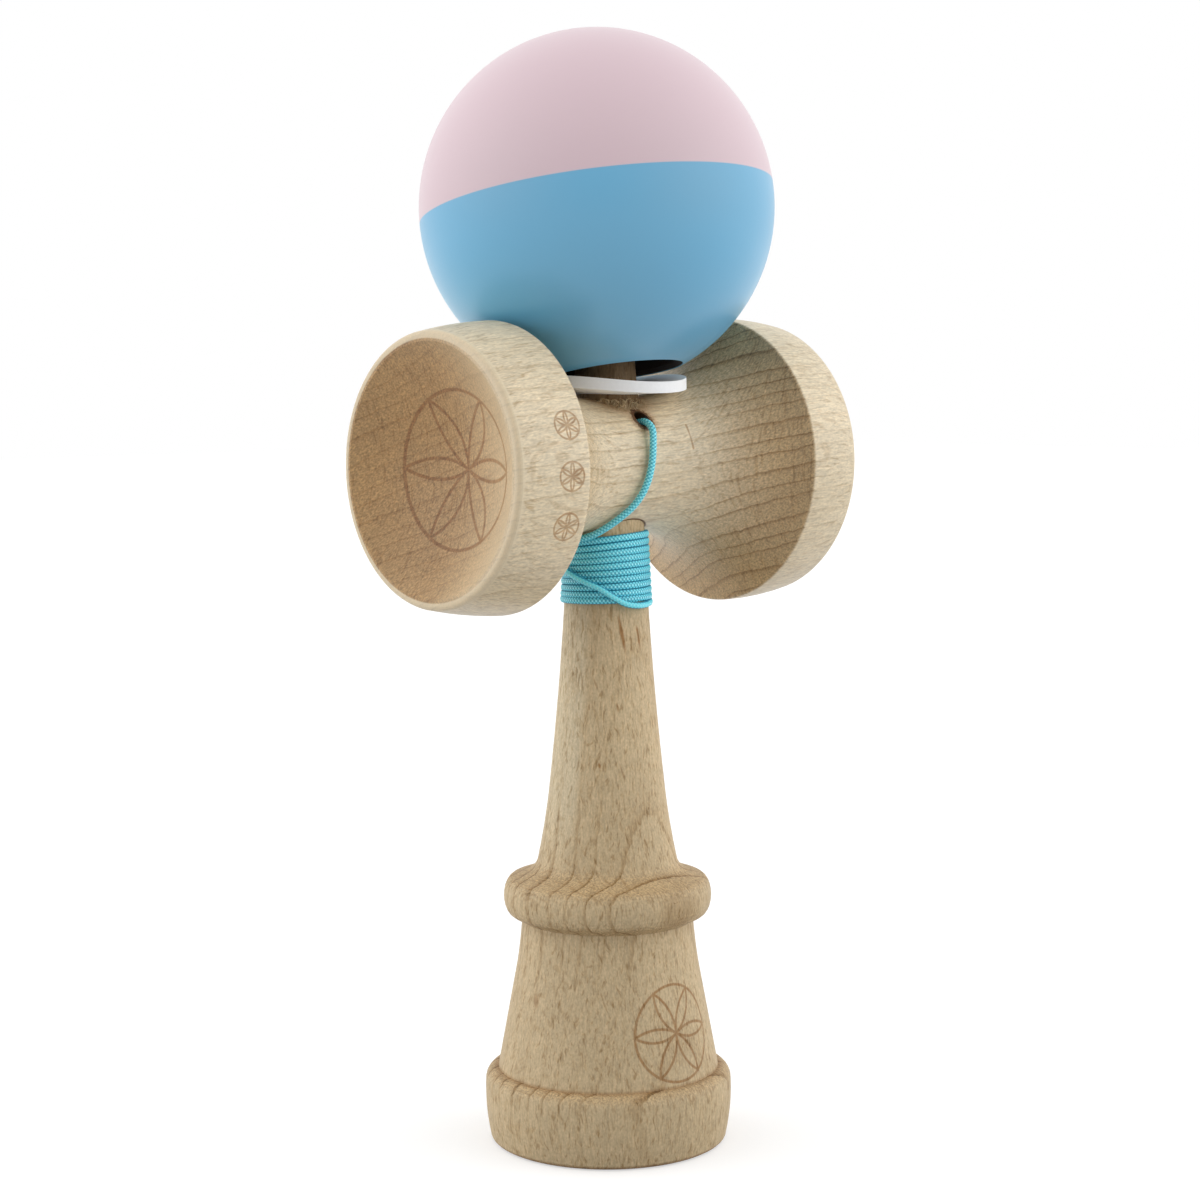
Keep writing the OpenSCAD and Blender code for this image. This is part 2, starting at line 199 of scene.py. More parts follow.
class Look:
    """A material under construction: its node tree and shader, and the point in mm and normal it is for."""

    def __init__(self, name, roughness, specular):
        self.material = bpy.data.materials.new(name)
        self.material.use_nodes = True
        self.tree = self.material.node_tree
        self.shader = self.tree.nodes["Principled BSDF"]
        self.shader.inputs["Roughness"].default_value = roughness
        self.shader.inputs["Specular IOR Level"].default_value = specular
        place = self.tree.nodes.new("ShaderNodeTexCoord")
        self.point = self.split(place.outputs["Object"], 1 / MM)
        self.normal = self.split(place.outputs["Normal"], 1)

    def split(self, socket, scale):
        """The three parts of a vector, times scale."""
        node = self.tree.nodes.new("ShaderNodeSeparateXYZ")
        self.tree.links.new(socket, node.inputs[0])
        parts = [Num(self.tree, s) for s in node.outputs]
        return parts if scale == 1 else [p * scale for p in parts]

    def join(self, x, y, z):
        node = self.tree.nodes.new("ShaderNodeCombineXYZ")
        for slot, value in zip(node.inputs, (x, y, z)):
            put(self.tree, slot, value)
        return node.outputs[0]

    def noise(self, place, size, detail=2.0, rough=0.5):
        """Noise from about -0.5 to 0.5. size is that of its grains: one number, or one for each axis."""
        sizes = size if isinstance(size, tuple) else (size, size, size)
        node = self.tree.nodes.new("ShaderNodeTexNoise")
        put(self.tree, node.inputs["Vector"], self.join(*(p / s for p, s in zip(place, sizes))))
        node.inputs["Scale"].default_value = 1.0
        node.inputs["Detail"].default_value = detail
        node.inputs["Roughness"].default_value = rough
        return Num(self.tree, node.outputs[0]) - 0.5

    def blend(self, kind, share, a, b):
        """Colour a with colour b mixed or multiplied in by share."""
        node = self.tree.nodes.new("ShaderNodeMix")
        node.data_type = "RGBA"
        node.blend_type = kind
        put(self.tree, node.inputs[0], share)
        for slot, value in ((node.inputs[6], a), (node.inputs[7], b)):
            put(self.tree, slot, value if isinstance(value, bpy.types.NodeSocket) else (*value, 1))
        return node.outputs[2]

    def mix(self, share, a, b):
        """Colour a where share is 0, and b where it is 1."""
        return self.blend("MIX", share, a, b)

    def tint(self, share, colour, times):
        """The colour, multiplied by times where share is 1."""
        return self.blend("MULTIPLY", share, colour, times)

    def grey(self, level):
        """A number as a grey colour."""
        return self.join(level, level, level)

    def scale(self, colour, level):
        """The colour, times a number."""
        return self.blend("MULTIPLY", 1.0, colour, self.grey(level))

    def finish(self, colour, height, depth):
        """Sets the colour, and a bump whose height of 1 stands depth millimetres proud."""
        put(self.tree, self.shader.inputs["Base Color"], colour)
        bump = self.tree.nodes.new("ShaderNodeBump")
        bump.inputs["Distance"].default_value = depth * MM
        put(self.tree, bump.inputs["Height"], height)
        self.tree.links.new(bump.outputs[0], self.shader.inputs["Normal"])
        return self.material


# Beech. Growth rings are thin brown lines across the growth direction, plainest on end grain. Rays are thin
# blades along the growth and the grain: dashes on the flat side, ticks on end grain. The sizes of a pattern
# are across the growth, along it and along the grain, in mm, and its strength follows.
SWAY_SIZE, SWAY = (24, 24, 70), 5.0
RIPPLE_SIZE, RIPPLE = (3.5, 3.5, 6), 0.8
JAG_SIZE, JAG = (0.8, 2.5, 2.5), 0.45
YEAR_SIZE, YEAR_UNEVEN = (2.3, 1, 1), 1.5
PATCH_SIZE, PATCH, PATCH_MEAN, PATCH_LEAST = (9, 9, 14), 1.5, 0.75, 0.15
WARP_SIZE, WARP = (3, 3, 7), 2.4
CLOUD_SIZE, CLOUD = (9, 9, 36), 0.3
FIBRE_SIZE, FIBRE = (0.32, 0.32, 2.0), 0.68
FLECK_SIZE, RAY_SIZE, PORE_SIZE = (0.46, 0.46, 2.6), (0.36, 3.2, 2.4), (0.32, 0.32, 0.45)
SPECKS = (0.05, 0.2)
RING_BEND = 420
LATE_WOOD = 0.4
# Strengths on the flat side, and how much more on end grain
RING_FLAT, RING_END = 0.17, 0.2
RAY_FLAT, RAY_END = 0.13, 0.06
PORE_FLAT, PORE_END = 0.5, 0.85
BROWN, BROWNING = (1.0, 0.84, 0.64), 2.2
WOOD_BUMP = 0.03


def beech(look, place, n_along, pale, end_times, spacing, lines=1.0, flecks=0.3):
    """Colour and bump of beech. place is across the growth, along it and along the grain, in mm."""
    across, growth, along = place
    end = n_along.abs().step(0.15, 0.9)
    sway = look.noise(place, SWAY_SIZE, 1.0) * SWAY
    ripple = look.noise(place, RIPPLE_SIZE) * RIPPLE
    jag = look.noise(place, JAG_SIZE, 1.0) * JAG
    rings = (growth + sway + ripple + jag + across * across / RING_BEND) / spacing
    uneven = look.noise((rings, 4.0, 0.0), YEAR_SIZE, 0.0) * YEAR_UNEVEN
    year = (rings + uneven).fract()
    line = band(year, 0.8, 0.96, 0.98, 1.0)
    late = year * year * year * LATE_WOOD
    patchy = look.noise(place, PATCH_SIZE) * PATCH + PATCH_MEAN
    ring = (line + late) * patchy.max(PATCH_LEAST) * (end * RING_END + RING_FLAT) * lines

    warp = look.noise(place, WARP_SIZE, 1.0) * WARP
    fleck = look.noise((across + warp, growth + warp, along), FLECK_SIZE, 2.0, 0.6).step(*SPECKS)
    ray = look.noise(place, RAY_SIZE, 1.0).step(*SPECKS)
    fibre = look.noise(place, FIBRE_SIZE, 2.0, 0.6)
    cloud = look.noise(place, CLOUD_SIZE)
    pore = look.noise(place, PORE_SIZE, 1.0)

    dark = ring + fleck * (1 - end) * flecks + ray * (end * RAY_END + RAY_FLAT)
    pores = pore * (end * PORE_END + PORE_FLAT) + 1
    level = (1 - dark) * (fibre * FIBRE + 1) * (cloud * CLOUD + 1) * pores
    colour = look.scale(look.tint(dark * BROWNING, pale, BROWN), level)
    colour = look.tint(end, colour, end_times)
    return colour, fibre * 0.6 + pore * 0.4 - ray * 0.4


def rosette(u, v, radius, line):
    """1 on the lines of a six-petal compass rosette, 0 elsewhere. u, v, radius and line are in mm."""
    r = length(u, v)
    a = v.atan2(u).wrap(math.pi / 6, -math.pi / 6)
    petal = length(r * a.cos() - radius / 2, (r * a.sin()).abs() + radius * math.sin(math.pi / 3))
    inner = (petal - radius).abs().step(line, line * 0.35)
    outer = (r - radius).abs().step(line, line * 0.35)
    return inner.max(outer)


def worn_away(look):
    """How much of a mark is left, around 0.8."""
    return look.noise(look.point, 1.3) * 0.7 + 0.8


def beside(point, start, end):
    """Distance in mm from the straight line between two points."""
    way = Vector(end) - Vector(start)
    ahead = way.normalized()
    off = [p - s for p, s in zip(point, start)]
    along = off[0] * ahead.x + off[1] * ahead.y + off[2] * ahead.z
    along = along.max(0.0).min(way.length)
    return length(*(o - along * a for o, a in zip(off, ahead)))


def spindle(point, start, end, half_width):
    """0 in the middle of a spindle between two points, 1 on its surface. half_width is in mm."""
    middle = (Vector(start) + Vector(end)) / 2
    half = (Vector(end) - Vector(start)) / 2
    ahead = half.normalized()
    off = [p - m for p, m in zip(point, middle)]
    along = off[0] * ahead.x + off[1] * ahead.y + off[2] * ahead.z
    across = length(*(o - along * a for o, a in zip(off, ahead)))
    return length(along / half.length, across / half_width)


# Colours of the wood, and what they are multiplied by in places
KEN_PALE, KEN_END, KEN_RING = (0.565, 0.437, 0.265), (0.88, 0.82, 0.74), 3.6
SARADO_PALE, SARADO_END, SARADO_RING = (0.72, 0.605, 0.42), (0.68, 0.55, 0.4), 2.7
# Painted shade in the small dish, towards its far side
PAINTED_SHADE_TAN = (0.84, 0.735, 0.58)
# Painted shade that darkens the handle towards its bottom
PAINTED_LOW_SHADE = (0.89, 0.89, 0.89)
# A painted sheen: the handle's +Y side made paler and greyer
PAINTED_SHEEN = (1.03, 1.1, 1.2)
# Brown of the burnt marks, streaks, scratch and the string hole's ragged edge, also used for painted shade at
# the collar's crease, the foot and round the spike
BURNT_AND_SHADE = (0.6, 0.42, 0.27)
# Painted shade, dark brown, inside and round the string hole and at the foot of the tenon's hole
HOLE_SHADE = (0.22, 0.12, 0.06)
# Painted shade on the spike, under the washer and inside the ball's hole
SHADE_ON_SPIKE = (0.42, 0.33, 0.25)

# Marks burnt into the wood: a rosette on the cone, one in the small dish, and three on the small cup's wall
CONE_MARK_HEADING = math.radians(268.6)
CONE_MARK_Z, CONE_MARK_R, CONE_R = 21.5, 8.0, 17.4
DISH_MARK_R = 13.0
WALL_MARK_X, WALL_MARK_R, WALL_R = -29.0, 2.3, 23.9
WALL_MARK_ANGLES = (18.4, -1.1, -20.6)
CONE_LINE, DISH_LINE, WALL_LINE = 0.34, 0.42, 0.24

# Dark streaks in the handle's wood: the two ends, the half-width in mm and the strength
STREAKS = (
    ((-3.4, -6.4, 92.7), (-2.2, -7.4, 84.3), 0.5, 1.0),
    ((0, -7.4, 91), (0.8, -7.7, 85), 0.36, 1.0),
    ((-7, -4, 81.7), (-6.4, -5.2, 78.6), 0.25, 0.5),
    ((-7.3, -5.8, 67.2), (-7.2, -6.2, 65.8), 0.32, 0.9),
    ((-4.4, -7.1, 77.4), (-4, -7.6, 75), 0.3, 0.6),
    ((-4.7, -8.1, 67.1), (-3.9, -9, 63.4), 0.25, 0.5),
    ((-7.7, -2.4, 81.7), (-7.9, -2.3, 79.5), 0.25, 0.5),
    ((-16.1, 0.8, 28.3), (-16.8, -0.7, 24.7), 1.0, 0.5),
)

# Zones of the handle by height in mm, where its lines show and where painted shade lies, and the y span of
# its painted sheen
FLANGE_BAND, COLLAR_BAND = (30.0, 35.0, 54.0, 64.0), (8.5, 10.0, 13.0, 14.0)
PLAIN_LINES, BAND_LINES = 0.4, 0.7
LOW_SHADE_HEIGHTS = (80.0, 35.0)
GRIP_FROM, SHEEN_SIDE = (46.0, 62.0), (-3.2, -1.6)
# Heights of the painted shade along the foot's bottom edge
FOOT = (0.9, 0.2)
# Heights of the painted shade on the spike
SPIKE_SHADE_HEIGHTS = (124.5, 126.0, 134.0, 142.0)


def ken_wood():
    look = Look("beech_ken", 0.58, 0.22)
    x, y, z = look.point
    lines = band(z, *FLANGE_BAND).max(band(z, *COLLAR_BAND)) * BAND_LINES + PLAIN_LINES
    colour, height = beech(look, (x, -1 * y, z), look.normal[2], KEN_PALE, KEN_END, KEN_RING, lines)

    out = x * math.cos(CONE_MARK_HEADING) + y * math.sin(CONE_MARK_HEADING)
    side = y * math.cos(CONE_MARK_HEADING) - x * math.sin(CONE_MARK_HEADING)
    mark = rosette(side.atan2(out) * CONE_R, z - CONE_MARK_Z, CONE_MARK_R, CONE_LINE)
    worn = worn_away(look)
    colour = look.tint(mark * worn.min(1.0), colour, BURNT_AND_SHADE)
    for start, end, half_width, strength in STREAKS:
        streak = (spindle(look.point, start, end, half_width) + worn * 0.7 - 0.55).step(1.0, 0.3)
        colour = look.tint(streak * strength, colour, BURNT_AND_SHADE)

    # Painted shade in the collar's crease and along the bottom edge of the foot
    crease = (z - COLLAR_Z - 0.1).abs().step(0.4, 0.05)
    colour = look.tint((crease * 0.4).max(z.step(*FOOT) * 0.6), colour, BURNT_AND_SHADE)
    # Painted shade: the handle darkens towards its bottom
    colour = look.tint(z.step(*LOW_SHADE_HEIGHTS), colour, PAINTED_LOW_SHADE)
    # Painted sheen: the upper handle is paler and greyer on its +Y side, with a ragged edge
    painted_sheen = (y + worn * 0.6).step(*SHEEN_SIDE) * z.step(*GRIP_FROM)
    colour = look.tint(painted_sheen, colour, PAINTED_SHEEN)
    # Painted shade inside the string hole
    colour = look.tint(string_hole_off(x, y, z).step(1.75, 1.5), colour, HOLE_SHADE)
    # Painted shade on the spike, under the washer and inside the ball's hole
    colour = look.tint(band(z, *SPIKE_SHADE_HEIGHTS) * 0.85, colour, SHADE_ON_SPIKE)
    return look.finish(colour, height, WOOD_BUMP)


def string_hole_off(x, y, z):
    """Distance in mm from the axis of the slanted string hole."""
    up = z - HOLE_MIDDLE[2]
    return length(x - HOLE_MIDDLE[0], y * math.sin(HOLE_TILT) + up * math.cos(HOLE_TILT))


SCRATCH = ((9.6, -9.8, 123.6), (9.7, -11.5, 119.7))
# The small dish lies left of here; painted shade darkens it from its string side to its far side, and its
# string side gets a painted sheen
DISH_X, DISH_PAINT_SHADE_SPAN = (-24.0, -25.0), (-19.0, 4.0)
WALL_MARKS_FROM = (-26.0, -26.5)
STRING_SIDE = (-3.0, -4.0)


def sarado_wood():
    look = Look("beech_sarado", 0.42, 0.55)
    colour, height = sarado_figure(look)
    colour = look.tint(sarado_marks(look) * worn_away(look).min(1.0), colour, BURNT_AND_SHADE)
    return look.finish(sarado_wear_and_shade(look, colour), height, WOOD_BUMP)


def sarado_figure(look):
    """Colour and bump of the cross-piece's wood: painted shade tans the small dish towards its far side and a
    painted sheen pales its string side; pale on both lips.
    """
    x, y, z = look.point
    n_along = look.normal[0]
    growth = z - AXIS_Z + y * 0.34 - x * 0.05
    from_axis = length(y, z - AXIS_Z)
    in_dish = from_axis.step(SMALL_DISH_R + 0.6, SMALL_DISH_R + 0.3) * x.step(*DISH_X)
    wall = n_along.abs().step(0.3, 0.1) * from_axis.step(SMALL_DISH_R, SMALL_DISH_R + 1)
    lines = 1 - in_dish * 0.55 - wall * 0.5
    place = (y, growth, x * 0.65)
    colour, height = beech(look, place, n_along, SARADO_PALE, SARADO_END, SARADO_RING, lines, 0.2)
    # Painted shade tans the small dish towards its far side, and a painted sheen pales its string side
    painted_dish_shade = y.step(*DISH_PAINT_SHADE_SPAN)
    colour = look.tint(in_dish * painted_dish_shade, colour, PAINTED_SHADE_TAN)
    colour = look.mix(in_dish * (1 - painted_dish_shade) * 0.55, colour, SARADO_PALE)
    small_lip = x.step(SMALL_LIP_X + 1.3, SMALL_LIP_X + 0.7)
    small_lip = small_lip * from_axis.step(SMALL_DISH_R + 0.3, SMALL_DISH_R + 0.6)
    big_lip = x.step(BIG_LIP_X - 1.3, BIG_LIP_X - 0.7) * from_axis.step(BIG_DISH_R, BIG_DISH_R + 0.3)
    return look.mix(small_lip.max(big_lip) * 0.75, colour, SARADO_PALE), height


def sarado_marks(look):
    """1 on the lines of the rosettes in the small dish and on its wall."""
    x, y, z = look.point
    from_axis = length(y, z - AXIS_Z)
    marks = rosette(y, z - AXIS_Z, DISH_MARK_R, DISH_LINE)
    marks = marks * x.step(SMALL_LIP_X + 0.5, SMALL_LIP_X + 1.5) * x.step(*DISH_X)
    angle = (z - AXIS_Z).atan2(-1 * y)
    outside = from_axis.step(SMALL_DISH_R + 1, SMALL_DISH_R + 1.5) * x.step(*WALL_MARKS_FROM)
    for place in WALL_MARK_ANGLES:
        mark = rosette((angle - math.radians(place)) * WALL_R, x - WALL_MARK_X, WALL_MARK_R, WALL_LINE)
        marks = marks.max(mark * outside)
    return marks


def sarado_wear_and_shade(look, colour):
    """The colour with painted shade at the foot of the tenon's hole and in the ragged string hole, a brown
    edge round that hole, painted shade round the spike under the washer, and one scratch.
    """
    x, y, z = look.point
    ragged = look.noise(look.point, 0.5, 3.0, 0.7) * 1.8
    hole_off = string_hole_off(x, y, z) + ragged
    front = y.step(*STRING_SIDE)
    near_hole = hole_off.step(3.8, 2.0) * front
    # Painted shade round the spike, under the washer
    shade_round_spike = (length(x, y) - SPIKE_R + ragged).step(3.6, 0.4) * z.step(121.0, 125.0)
    bore = (length(x, y) - TENON_R).step(0.35, 0.15) * z.step(112.0, 110.0)
    colour = look.tint((near_hole * 0.6).max(shade_round_spike * 0.75), colour, BURNT_AND_SHADE)
    colour = look.tint(beside(look.point, *SCRATCH).step(0.3, 0.12) * 0.8, colour, BURNT_AND_SHADE)
    # Painted shade in the string hole and at the foot of the tenon's hole
    return look.tint((hole_off.step(2.4, 1.9) * front).max(bore), colour, HOLE_SHADE)


def bead_wood():
    look = Look("beech_bead", 0.55, 0.4)
    colour, height = beech(look, look.point, look.normal[2], KEN_PALE, KEN_END, KEN_RING)
    return look.finish(colour, height, WOOD_BUMP)


PINK, BLUE = (0.66, 0.5, 0.545), (0.135, 0.425, 0.655)
# Painted shade, nearly black, inside the ball's holes
BALL_HOLE_SHADE = (0.02, 0.014, 0.01)
PAINT_ROUGH, BARE_ROUGH = 0.3, 0.95
# Heights along the ball's axis from its centre, and radii, in mm
SPLIT_UP, SPLIT_FADE = 0.75, 0.12
MOUTH_R, MOUTH_FADE, MOUTH_BELOW = 11.1, 0.18, (24.0, 23.0)
EYE_R, EYE_FADE, EYE_ABOVE = 1.7, 0.2, (20.0, 21.0)


def ball_paint():
    look = Look("ball_paint", PAINT_ROUGH, 0.75)
    x, y, z = look.point
    up = (y - BALL_CENTRE.y) * BALL_AXIS.y + (z - BALL_CENTRE.z) * BALL_AXIS.z
    side = (y - BALL_CENTRE.y) * BALL_AXIS.z - (z - BALL_CENTRE.z) * BALL_AXIS.y
    from_axis = length(x - BALL_CENTRE.x, side)
    paint = look.mix((up - SPLIT_UP).step(-SPLIT_FADE, SPLIT_FADE), BLUE, PINK)
    in_mouth = from_axis.step(MOUTH_R + MOUTH_FADE, MOUTH_R) * up.step(*MOUTH_BELOW)
    in_eye = from_axis.step(EYE_R + EYE_FADE, EYE_R) * up.step(*EYE_ABOVE)
    # Bare wood inside the holes: rough, and coloured with painted shade
    bare_and_shaded = in_mouth.max(in_eye)
    put(look.tree, look.shader.inputs["Roughness"], bare_and_shaded * (BARE_ROUGH - PAINT_ROUGH) + PAINT_ROUGH)
    orange_peel = look.noise(look.point, 0.7)
    return look.finish(look.mix(bare_and_shaded, paint, BALL_HOLE_SHADE), orange_peel, 0.01)


WASHER_GREY = 0.9


def washer_white():
    look = Look("washer_white", 0.7, 0.3)
    speck = look.noise(look.point, 0.5)
    return look.finish(look.grey(speck * 0.07 + WASHER_GREY), speck, 0.02)


# The braid's colours: painted shade between its strands, its own colour on them, and a painted highlight on
# their tops
STRING_GROOVE_SHADE = (0.02, 0.29, 0.45)
STRING_COLOUR = (0.18, 0.86, 1.0)
STRING_HIGHLIGHT = (0.8, 0.99, 1.0)
PROUD = "proud"
GROOVE_SHADE_TO, HIGHLIGHT_FROM = (0.1, 0.72), (0.72, 0.98)


def string_braid():
    look = Look("string_braid", 0.42, 0.6)
    node = look.tree.nodes.new("ShaderNodeAttribute")
    node.attribute_name = PROUD
    proud = Num(look.tree, node.outputs["Fac"])
    yarn = look.noise(look.point, 0.08)
    # Painted shade in the braid's grooves
    colour = look.mix(proud.step(*GROOVE_SHADE_TO), STRING_GROOVE_SHADE, STRING_COLOUR)
    # Painted highlight on the braid's crests
    colour = look.mix(proud.step(*HIGHLIGHT_FROM) * 0.8, colour, STRING_HIGHLIGHT)
    return look.finish(look.scale(colour, yarn * 0.35 + 1), yarn, 0.02)


# The string. Routes repeat the CAD part's own points, in millimetres.
STRING_R = 0.7
WOUND_R = 0.3
WOUND_PITCH = 1.02
HOLE_TILT = math.radians(14)
HOLE_MIDDLE = (0.9, 0, 122.7)
LEAD_ROUTE = [
    (0.9, -2.5, 123.1), (0.9, -5, 123.65), (0.9, -6.6, 124), (0.85, -8, 124.25),
    (0.8, -8.85, 124.3), (0.7, -9.8, 124.05), (0.6, -10.65, 123.5), (0.4, -11.25, 122.7),
    (0.2, -11.55, 121.7), (-0.1, -11.85, 120.3), (-0.45, -12.1, 118.6), (-0.85, -12.2, 116.9),
    (-1.4, -12.05, 114.8), (-2.2, -11.4, 112.4), (-3.3, -10.2, 110.2), (-4.8, -8.6, 108.3),
    (-6.1, -6.7, 106.7), (-7.2, -4.5, 105.4), (-7.8, -2.1, 104.75),
]
REAR_ROUTE = [
    (-0.8, 9.1, 104.5), (0, 10.1, 106.3), (0, 11.1, 109.2), (0, 12.4, 112.2), (0, 14, 115.5),
    (-0.1, 15.6, 118.8), (-0.1, 17.2, 122.1), (-0.2, 18.8, 125.4), (-0.2, 20.4, 128.7), (-0.3, 22, 132),
    (-0.3, 23.6, 135.3), (-0.4, 25.2, 138.6), (-0.4, 26.8, 141.9), (-0.5, 28.4, 145.2), (-0.6, 30, 149),
    (-0.7, 31.2, 153), (-0.7, 31.9, 157), (-0.8, 32.1, 161), (-0.8, 31.7, 165), (-0.9, 30.8, 169),
    (-0.9, 29.3, 173), (-0.9, 27.2, 176.8), (-0.9, 24.5, 180.4), (-0.9, 21.4, 183.5), (-0.9, 17.9, 186.1),
    (-0.9, 14.2, 188.2), (-0.9, 11.3, 189.4), (-0.9, 9.2, 190), (-0.9, 8, 189.8), (-0.9, 7, 189.3),
    (-0.9, 6.25, 188.55),
]
KNOT_R, KNOT_STRING_R, KNOT_POINTS = 1.9, 0.55, 90
KEN_KNOT_AT = 2.6
# Heights in the ball where the string passes, from its top hole down to its knot
BEAD_KNOT_UP = 11.39
STRING_END_UP = (27.2, 24, 21, 18, 15.5, BEAD_KNOT_UP + KNOT_R)
# The winding: angles in degrees along it, then heights in mm
WOUND_START, WOUND_LEFT = 160, 110
WOUND_HELIX, WOUND_CROSS = 3820, 185
CROSS_LIFT, SETTLE = 30, 60
WOUND_SLANT, WOUND_BELOW, CROSS_CLIMB = 1.6, 1.48, 9.3
# How far the winding's centre line is from the handle: on its turns, over them and where it leaves
SEAT, LAYER_GAP = 0.05, 0.45
TURN_SEAT = WOUND_R + SEAT
OUTER_SEAT = TURN_SEAT + 2 * WOUND_R + LAYER_GAP
END_SEAT = TURN_SEAT + WOUND_R + STRING_R + LAYER_GAP


def ease(t):
    """Smooth step from 0 at 0 to 1 at 1."""
    t = min(max(t, 0), 1)
    return t * t * (3 - 2 * t)


def grip_radius(z):
    """The handle's radius at height z on its waisted grip, a circular arc between two known points."""
    low, high = np.array((GRIP_R, GRIP_Z)), np.array((TENON_R, TENON_Z))
    chord = np.linalg.norm(high - low)
    curve = ((chord / 2) ** 2 + GRIP_HOLLOW**2) / (2 * GRIP_HOLLOW)
    side = np.array((high[1] - low[1], low[0] - high[0])) / chord
    centre = (low + high) / 2 + side * (curve - GRIP_HOLLOW)
    return centre[0] - math.sqrt(curve**2 - (z - centre[1]) ** 2)


def wound_point(a):
    """The winding's centre line at a degrees along it, clockwise and down, then up over its own turns."""
    helix = min(a, WOUND_HELIX)
    slant = WOUND_SLANT / 2 * (1 - helix / WOUND_HELIX)
    climb = (a - WOUND_HELIX - CROSS_LIFT) / (WOUND_CROSS - CROSS_LIFT)
    z = (
        TENON_Z - WOUND_BELOW - WOUND_PITCH * helix / 360
        + slant * (1 - math.cos(math.radians(WOUND_START - helix - WOUND_LEFT)))
        + CROSS_CLIMB * max(climb, 0) * ease(climb * 3)
    )
    seat = (
        TURN_SEAT + (STRING_R + SEAT - TURN_SEAT) * (1 - ease(a / SETTLE))
        + (OUTER_SEAT - TURN_SEAT) * ease((a - WOUND_HELIX) / CROSS_LIFT)
        + (END_SEAT - OUTER_SEAT) * ease((a - WOUND_HELIX - WOUND_CROSS + SETTLE) / SETTLE)
    )
    r, turn = grip_radius(z) + seat, math.radians(WOUND_START - a)
    return np.array((r * math.cos(turn), r * math.sin(turn), z))


FINE_STEP = 0.05


def smooth_line(points, spacing):
    """Points along a Catmull-Rom curve through the given ones, about spacing apart."""
    before = 2 * np.array(points[0]) - points[1]
    after = 2 * np.array(points[-1]) - points[-2]
    p = np.array([before, *points, after], float)
    found = []
    for a, b, c, d in zip(p, p[1:], p[2:], p[3:]):
        count = max(2, int(math.ceil(np.linalg.norm(c - b) / FINE_STEP)))
        t = np.arange(count)[:, None] / count
        square, cube = 2 * a - 5 * b + 4 * c - d, 3 * b - a - 3 * c + d
        found.append(0.5 * (2 * b + (c - a) * t + square * t**2 + cube * t**3))
    fine = np.vstack([*found, p[-2:-1]])
    along = run_length(fine)
    even = np.linspace(0, along[-1], int(along[-1] / spacing) + 1)
    return np.stack([np.interp(even, along, fine[:, i]) for i in range(3)], 1)


def run_length(line):
    """The distance along a line of points, at each point."""
    return np.r_[0, np.cumsum(np.linalg.norm(np.diff(line, axis=0), axis=1))]


BRAID_PITCH = 0.62
BRAID_COLUMNS = 8
BRAID_DEPTH, BRAID_MEAN = 0.09, 0.6
STRAND_ACROSS, STRAND_ALONG = 0.8, 0.45
RING_SIDES = 24
CORD_STEP = BRAID_PITCH / 4
# Where a painted shade starts on a turn's side and over how much of its half-width, and a pulled braid's
# height
SIDE_FROM, SIDE_FADE = 0.66, 0.24
PULLED_HEIGHT = 0.8


def braid_height(around, along):
    """Height from 0 to 1 of a braid of two families of strands, each diamond carrying one strand."""
    first = BRAID_COLUMNS / 2 * around + along / BRAID_PITCH
    second = BRAID_COLUMNS / 2 * around - along / BRAID_PITCH
    over = (np.floor(first) + np.floor(second)) % 2 < 1
    across = np.where(over, first, second) % 1 - 0.5
    lengthwise = np.where(over, second, first) % 1 - 0.5
    return np.cos(np.pi * across) ** STRAND_ACROSS * np.cos(np.pi * lengthwise) ** STRAND_ALONG


def cord_mesh(name, line, outward, wide, thick, packed=0.0, pulled=0.0):
    """A braided tube.

    outward points away from what each point lies on. wide and thick are half-sizes in mm. packed is how
    closely each point has turns beside it, from 0 to 1: its sides then take the painted shade of the grooves.
    pulled is how much of its braid is pulled smooth there.
    """
    tangent = np.gradient(line, axis=0)
    tangent /= np.linalg.norm(tangent, axis=1)[:, None]
    u = outward - (outward * tangent).sum(1)[:, None] * tangent
    u /= np.linalg.norm(u, axis=1)[:, None]
    v = np.cross(tangent, u)
    around = np.arange(RING_SIDES) / RING_SIDES
    proud = braid_height(around[None, :], run_length(line)[:, None])
    turn = 2 * np.pi * around
    relief = BRAID_DEPTH * (proud - BRAID_MEAN)
    radial = np.cos(turn)[None, :] * (thick[:, None] + relief)
    level = np.sin(turn)[None, :] * (wide[:, None] + relief)
    points = line[:, None, :] + radial[..., None] * u[:, None, :] + level[..., None] * v[:, None, :]
    rings = len(line)
    caps = [list(range(RING_SIDES))[::-1], list(range((rings - 1) * RING_SIDES, rings * RING_SIDES))]
    mesh = smooth_mesh(name, points.reshape(-1, 3), tube_faces(rings, RING_SIDES) + caps)
    sides = np.clip((np.abs(np.sin(turn)) - SIDE_FROM) / SIDE_FADE, 0, 1)
    packed, pulled = np.reshape(packed, (-1, 1)), np.reshape(pulled, (-1, 1))
    # The sides of packed turns take the grooves' painted shade
    shown = (proud + (PULLED_HEIGHT - proud) * pulled) * (1 - packed * sides[None, :])
    heights = mesh.attributes.new(PROUD, "FLOAT", "POINT")
    heights.data.foreach_set("value", shown.ravel().astype(np.float32))
    return add_piece(name, mesh, STRING)


def tube_faces(rings, sides):
    """The four-sided faces between rings of points that follow one another."""
    i, k = np.meshgrid(np.arange(rings - 1), np.arange(sides), indexing="ij")
    a, b = i * sides + k, i * sides + (k + 1) % sides
    return np.stack([a, b, b + sides, a + sides], -1).reshape(-1, 4).tolist()


